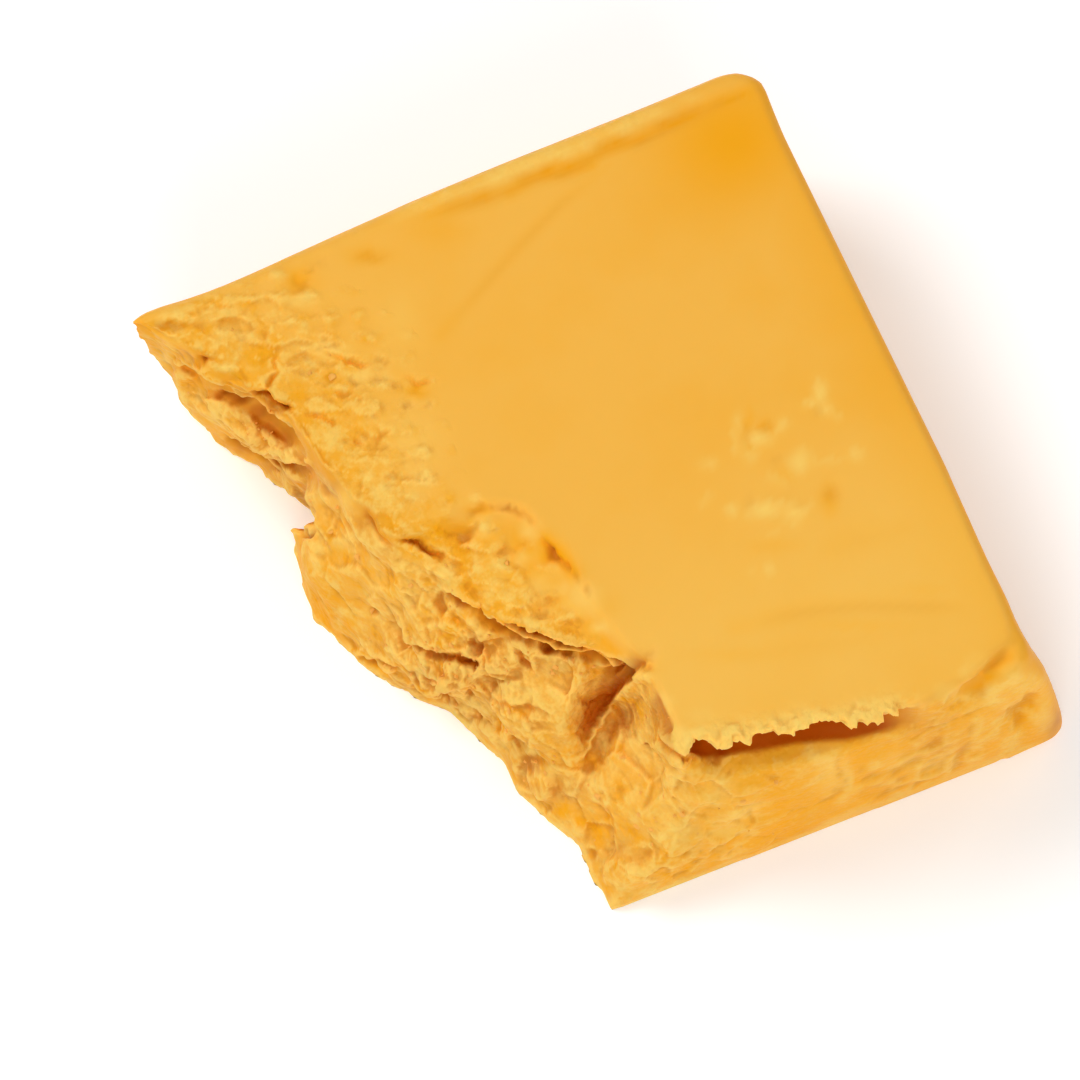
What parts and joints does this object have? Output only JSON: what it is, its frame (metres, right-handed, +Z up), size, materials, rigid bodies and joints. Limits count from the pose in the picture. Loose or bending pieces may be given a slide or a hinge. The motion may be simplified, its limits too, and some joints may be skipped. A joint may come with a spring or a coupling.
{
  "type": "cheddar block",
  "caption": "Broken block of orange cheddar cheese: smooth cut top and sides, a long crumbly broken side and a thin overhanging lip along its front edge.",
  "frame": {"origin": "on the table under the block, at the middle of its outline", "axes": "+Z up through the thickness; +Y to the straight uncut long side; +X to the uncut end, away from the broken side"},
  "size_m": [0.075, 0.074, 0.0282],
  "materials": {
    "cheddar": "waxy matt"
  },
  "bodies": {
    "root": {"cheddar_block": "cheddar"}
  },
  "joints": []
}
